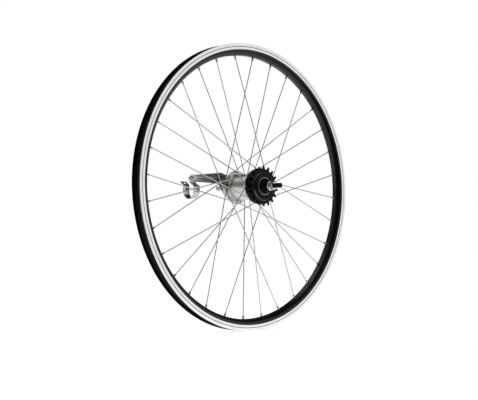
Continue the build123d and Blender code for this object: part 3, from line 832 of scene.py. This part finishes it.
for k in range(tab_count):
    tab = block((2 * tab_depth, tab_length, tab_width), (bore_radius, sprocket_face, 0))
    tab.data.transform(Matrix.Rotation(radians(-90 - 360 / tab_count * k), 4, "Y"))
    combine(centre_hole, tab, "DIFFERENCE")
combine(sprocket, centre_hole, "DIFFERENCE")
sprocket_black = surface(
    "sprocket_black_oxide",
    grey(0.003),
    grey(0.008),
    scale=70,
    rough=(0.28, 0.42),
    metallic=0.12,
    specular=0.1,
)
grain(sprocket_black, scale=1800, strength=0.12, depth=0.03)
# Painted highlight: a brighter metal colour on the sloped edge of the raised middle, standing in for light on
# it.
highlight_paint = surface("sprocket_painted_highlight_edge", grey(0.05), grey(0.2), scale=50, rough=(0.2, 0.3))
sprocket.data.materials.append(sprocket_black)
sprocket.data.materials.append(highlight_paint)
# Faces on the raised middle's sloped edge take the painted highlight colour.
for face in sprocket.data.polygons:
    out = Vector((face.center.x, face.center.z)).length / mm
    sloped = upright < abs(face.normal.y) < level
    face.material_index = 1 if sloped and boss_radius - highlight_ring_width < out < boss_radius else 0
stands_for(sprocket, "sprocket", "driver_set")


# Snap ring: a sprung steel wire ring in the driver's groove that keeps the sprocket on.
# Its bright round wire is the pale circle inside the sprocket.
snap_ring = softened("snap_ring", "snap_ring_wire", width=0.45)
spring_bright = surface(
    "snap_ring_steel", (0.26, 0.26, 0.255), (0.4, 0.4, 0.395), scale=60, rough=(0.16, 0.26)
)
grain(spring_bright, scale=2600, strength=0.1, depth=0.03)
snap_ring.data.materials.append(spring_bright)
stands_for(snap_ring, "snap_ring", "driver_set")


# Cone cap: a black plastic cover pressed on the right cone. It closes the driver's bearing, and its sloping
# face fills the hole of the sprocket.
cone_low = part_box("cone_cap")[0].y / mm
cone_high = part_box("cone_cap")[1].y / mm
cone_bore = 8.63
cone_face = 11.0
cone_base = 14.8
cone_wall = 1.2
cone_cap = turned(
    "cone_cap_cover",
    [
        (cone_bore, cone_low, 0),
        (cone_face, cone_low, 0.5),
        (cone_base, cone_high, 0.3),
        (cone_base - cone_wall, cone_high, 0.2),
        (cone_face - cone_wall, cone_low + cone_wall, 0.2),
        (cone_bore, cone_low + cone_wall, 0),
    ],
    steps=72,
)
cone_cap.data.materials.append(cap_black)
stands_for(cone_cap, "cone_cap", "axle_set")


# Locknuts: thin hexagon nuts with chamfered corners that hold the bearings in adjustment.
# The right one is blackened like the axle, and the left one is zinc plated.
chamfer_share = 0.95
chamfer_angle = 30


def hexagon_nut(name, across, low, high, bore, bevel_low=True, bevel_high=True):
    """Hexagon nut between two places along its axis, its corners cut by a cone on the chosen faces."""
    corner = across / sqrt(3)
    beyond = corner + cut_room
    face = across / 2 * chamfer_share
    slope = (corner - face) * tan(radians(chamfer_angle))
    points = [on_circle(corner, 60 * k) for k in range(6)]
    piece = gear(name, [(point.x, point.z) for point in points], low, high)
    shape = turned(
        "nut_shape",
        [
            (bore, low, 0),
            (face if bevel_low else beyond, low, 0),
            (corner if bevel_low else beyond, low + (slope if bevel_low else hair), 0),
            (corner if bevel_high else beyond, high - (slope if bevel_high else hair), 0),
            (face if bevel_high else beyond, high, 0),
            (bore, high, 0),
        ],
        steps=48,
    )
    combine(piece, shape, "INTERSECT")
    return piece


axle_bore = 4.8
locknut_across = 17.0
zinc = surface("zinc_plate", (0.60, 0.60, 0.59), (0.78, 0.78, 0.77), scale=110, rough=(0.2, 0.34))
grain(zinc, scale=2400, strength=0.08, depth=0.03)
for node, finish in (("right_locknut", axle_black), ("left_locknut", zinc)):
    low, high = (corner.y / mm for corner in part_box(node))
    nut = hexagon_nut(node + "_hexagon", locknut_across, low, high, axle_bore)
    nut.data.materials.append(finish)
    stands_for(nut, node, "axle_set")


# Axle nuts: long zinc plated hexagon nuts, each with a round flange that spreads its force.
# They clamp the wheel into the frame's ends.
nut_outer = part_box("axle_nuts")[1].y / mm
nut_across = 15.0
nut_length = 12.9
nut_turn = 30
nut_flange = 3.0
nut_flange_radius = 9.6
nut_pair = []
for side in (1, -1):
    top = side * nut_outer
    foot = side * (nut_outer - nut_length)
    low, high = sorted((top, foot))
    nut = hexagon_nut("axle_nut", nut_across, low, high, axle_bore, bevel_low=side < 0, bevel_high=side > 0)
    nut.data.transform(Matrix.Rotation(radians(nut_turn), 4, "Y"))
    nut_flange_outline = [
        (axle_bore, foot, 0),
        (nut_flange_radius, foot, 0.4),
        (nut_flange_radius, foot + side * nut_flange, 0.9),
        (axle_bore, foot + side * nut_flange, 0),
    ]
    combine(nut, turned("nut_flange", nut_flange_outline, steps=64), "UNION")
    nut_pair.append(nut)
axle_nuts = join("axle_nut_pair", nut_pair)
axle_nuts.data.materials.append(zinc)
stands_for(axle_nuts, "axle_nuts", "axle_set")


# Washers: plain rings under the axle nuts, with rounded rims and a dark phosphate finish.
# They press the frame's ends against the locknuts.
washer_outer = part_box("axle_washers")[1].y / mm
washer_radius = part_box("axle_washers")[1].z / mm
washer_thickness = 1.6
washer_pair = []
for side in (1, -1):
    inner = side * (washer_outer - washer_thickness)
    outer = side * washer_outer
    washer_outline = [
        (axle_bore, inner, 0),
        (washer_radius, inner, 0.3),
        (washer_radius, outer, 0.3),
        (axle_bore, outer, 0),
    ]
    washer_pair.append(turned("washer", washer_outline, steps=56))
washers = join("washer_pair", washer_pair)
washers.data.materials.append(axle_black)
stands_for(washers, "axle_washers", "axle_set")


# Left dust cap: a dished plated disc that closes the brake end of the hub.
# It stays still with the brake arm while the shell turns behind it.
dust_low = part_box("left_dust_cap")[0].y / mm
dust_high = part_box("left_dust_cap")[1].y / mm
dust_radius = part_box("left_dust_cap")[1].z / mm
dust_bore = 9.63
dust_wall = 1.8
dust_cap = turned(
    "dust_cap_disc",
    [
        (dust_bore, dust_high - dust_wall, 0),
        (dust_radius - dust_wall, dust_high - dust_wall, 0.4),
        (dust_radius - dust_wall, dust_low, 0.3),
        (dust_radius, dust_low, 0.3),
        (dust_radius, dust_high, 0.8),
        (dust_bore, dust_high, 0),
    ],
    steps=96,
)
dust_cap.data.materials.append(zinc)
stands_for(dust_cap, "left_dust_cap", "axle_set")


# Brake arm: a lever pressed from steel sheet, with folded edges and a grey plated finish. Its square hole
# sits on the brake cone and its tip is tied to the frame, so it takes the force of braking.
arm = softened("brake_arm", "brake_arm_lever", width=0.5)
arm_steel = surface(
    "arm_plated_steel", (0.26, 0.26, 0.265), (0.34, 0.34, 0.345), scale=40, rough=(0.24, 0.32)
)
grain(arm_steel, scale=1500, strength=0.04, depth=0.03)
arm.data.materials.append(arm_steel)
stands_for(arm, "brake_arm", "axle_set")


# Arm clip: a bent, brightly plated strap that goes round a frame tube. It hangs on the bolt at the arm's
# tip, and a small screw through its ear would close it.
clip = softened("arm_clip", "arm_clip_strap", width=0.3)
clip_chrome = surface(
    "clip_bright_plate", (0.57, 0.57, 0.58), (0.63, 0.63, 0.64), scale=60, rough=(0.05, 0.1)
)
grain(clip_chrome, scale=900, strength=0.03, depth=0.03)
clip.data.materials.append(clip_chrome)
stands_for(clip, "arm_clip", "clip")


# Clip bolt and nut: the small zinc plated screw that the clip swings on. Its head is on the outer side of
# the arm, and its nut and its free end are on the wheel's side of the strap.
bolt_centre = Vector((-104.0, 0, 15.5)) * mm
bolt_across = 10.0
bolt_radius = 3.0
bolt_overlap = 1.0
thread_room = 0.05
head_length = 3.6
bolt_low, bolt_high = (corner.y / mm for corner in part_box("clip_bolt"))
nut_low, nut_high = (corner.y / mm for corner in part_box("clip_nut"))
head_low = bolt_high - head_length
clip_bolt = hexagon_nut("clip_bolt_screw", bolt_across, head_low, bolt_high, 0.0, bevel_low=False)
rod = turned(
    "bolt_rod",
    [
        (0, head_low + bolt_overlap, 0),
        (bolt_radius, head_low + bolt_overlap, 0),
        (bolt_radius, bolt_low, 0.6),
        (0, bolt_low, 0),
    ],
    steps=32,
)
combine(clip_bolt, rod, "UNION")
clip_nut = hexagon_nut("clip_nut_hexagon", bolt_across, nut_low, nut_high, bolt_radius + thread_room)
for piece, node in ((clip_bolt, "clip_bolt"), (clip_nut, "clip_nut")):
    piece.data.transform(Matrix.Translation(bolt_centre))
    piece.data.materials.append(zinc)
    stands_for(piece, node, "axle_set")


# Parts inside the hub: bearing races and balls, the planet gears on their carrier, and the brake. They
# keep their own solids: oiled steel for most, polished steel for the balls and bronze for the brake shoes.
oiled_steel = surface("oiled_steel", (0.3, 0.29, 0.27), (0.48, 0.47, 0.45), scale=110, rough=(0.2, 0.38))
grain(oiled_steel, scale=1800, strength=0.1, depth=0.03)
ball_steel = surface("ball_steel", (0.64, 0.64, 0.65), (0.74, 0.74, 0.75), scale=200, rough=(0.07, 0.14))
bronze = surface("shoe_bronze", (0.33, 0.2, 0.08), (0.48, 0.32, 0.14), scale=120, rough=(0.3, 0.48))
inner_finish = {
    oiled_steel: (
        "ball_ring",
        "right_cone",
        "brake_cone",
        "shoe_spring",
        "planet_carrier",
        "planet_pins",
        "ring_gear",
        "planet_gear_1",
        "planet_gear_2",
        "planet_gear_3",
    ),
    ball_steel: ("left_balls", "cone_balls", "shell_balls"),
    bronze: ("brake_shoes",),
}
for material, names in inner_finish.items():
    for name in names:
        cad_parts[name].data.materials.clear()
        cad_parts[name].data.materials.append(material)


# Studio: a pale floor under the rim, a white surround and soft lamps, with places and sizes in metres. The
# surround shows plain white, and lights the metal with a few broad bright panels and darker sides so that
# its edges read.
floor_size = 40.0
floor_front = -0.5
floor_gap = 0.2 * mm
floor_glow = 0.85
floor_place = (0, floor_front + floor_size / 2, cad_low.z - floor_gap)
start_fresh()
bpy.ops.mesh.primitive_plane_add(size=floor_size, location=floor_place)
floor = bpy.context.object
floor.name = "floor"
floor_pale = bpy.data.materials.new("floor_pale")
floor_pale.use_nodes = True
shader = floor_pale.node_tree.nodes["Principled BSDF"]
shader.inputs["Base Color"].default_value = (*grey(0.6), 1)
shader.inputs["Roughness"].default_value = 0.9
shader.inputs["Specular IOR Level"].default_value = 0.1
shader.inputs["Emission Color"].default_value = (1, 1, 1, 1)
shader.inputs["Emission Strength"].default_value = floor_glow
floor.data.materials.append(floor_pale)
floor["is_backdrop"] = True

world = bpy.data.worlds.new("white_surround")
bpy.context.scene.world = world
world.use_nodes = True
sky = world.node_tree
sky.nodes.clear()
around = sky.nodes.new("ShaderNodeTexCoord")
soft = sky.nodes.new("ShaderNodeBackground")
white = sky.nodes.new("ShaderNodeBackground")
white.inputs["Color"].default_value = (1, 1, 1, 1)
path = sky.nodes.new("ShaderNodeLightPath")
choose = sky.nodes.new("ShaderNodeMixShader")
output = sky.nodes.new("ShaderNodeOutputWorld")
dark_sides = 0.04
total = sky.nodes.new("ShaderNodeValue").outputs["Value"]
total.default_value = dark_sides
panels = [
    ((0.70, -0.71, 0.05), 0.70, 0.94, 0.88),
    ((-0.60, -0.10, 1.00), 0.80, 0.96, 0.60),
    ((-0.10, 0.75, 0.65), 0.90, 0.98, 0.90),
    ((-1.00, 0.30, 0.35), 0.80, 0.95, 0.60),
]
for direction, start, full, strength in panels:
    aim = sky.nodes.new("ShaderNodeVectorMath")
    aim.operation = "DOT_PRODUCT"
    aim.inputs[1].default_value = Vector(direction).normalized()
    edge = sky.nodes.new("ShaderNodeMapRange")
    edge.interpolation_type = "SMOOTHSTEP"
    edge.inputs["From Min"].default_value = start
    edge.inputs["From Max"].default_value = full
    edge.inputs["To Max"].default_value = strength
    add = sky.nodes.new("ShaderNodeMath")
    sky.links.new(around.outputs["Generated"], aim.inputs[0])
    sky.links.new(aim.outputs["Value"], edge.inputs["Value"])
    sky.links.new(edge.outputs["Result"], add.inputs[0])
    sky.links.new(total, add.inputs[1])
    total = add.outputs["Value"]
sky.links.new(total, soft.inputs["Color"])
sky.links.new(path.outputs["Is Camera Ray"], choose.inputs["Fac"])
sky.links.new(soft.outputs["Background"], choose.inputs[1])
sky.links.new(white.outputs["Background"], choose.inputs[2])
sky.links.new(choose.outputs["Shader"], output.inputs["Surface"])


def soft_lamp(name, place, size, power):
    """Broad lamp that faces the hub."""
    lamp = bpy.data.lights.new(name, "AREA")
    lamp.shape = "RECTANGLE"
    lamp.size, lamp.size_y = size
    lamp.energy = power
    holder = bpy.data.objects.new(name, lamp)
    bpy.context.collection.objects.link(holder)
    holder.location = place
    holder.rotation_euler = Vector(place).to_track_quat("Z", "Y").to_euler()


soft_lamp("top_lamp", place=(-0.4, -0.8, 2.6), size=(2.0, 1.2), power=8)
soft_lamp("left_lamp", place=(-2.6, 0.6, 0.9), size=(0.8, 2.0), power=5)


# Camera: the view of the photograph, from the sprocket side and a little below the axle.
# Its image is taken as 478 by 400 pixels, and its place is measured in rim radii.
image_width = 478
focal_pixels = 1064.754
azimuth, elevation = radians(-43.9586), radians(-2.5256)
off_right, off_up, distance = 0.0637, 0.0905, 7.4549
back = Vector((sin(azimuth) * cos(elevation), -cos(azimuth) * cos(elevation), sin(elevation)))
right = (-back).cross(Vector((0, 0, 1))).normalized()
up = right.cross(-back)
lens = bpy.data.cameras.new("camera")
lens.sensor_width = 36.0
lens.sensor_fit = "HORIZONTAL"
lens.lens = focal_pixels / image_width * lens.sensor_width
camera = bpy.data.objects.new("camera", lens)
bpy.context.collection.objects.link(camera)
camera.rotation_mode = "QUATERNION"
camera.location = (back * distance - right * off_right - up * off_up) * rim_radius * mm
camera.rotation_quaternion = (-back).to_track_quat("-Z", "Y")
bpy.context.scene.camera = camera
bpy.context.scene.view_settings.view_transform = "Standard"

bpy.context.view_layer.update()
low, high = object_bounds()
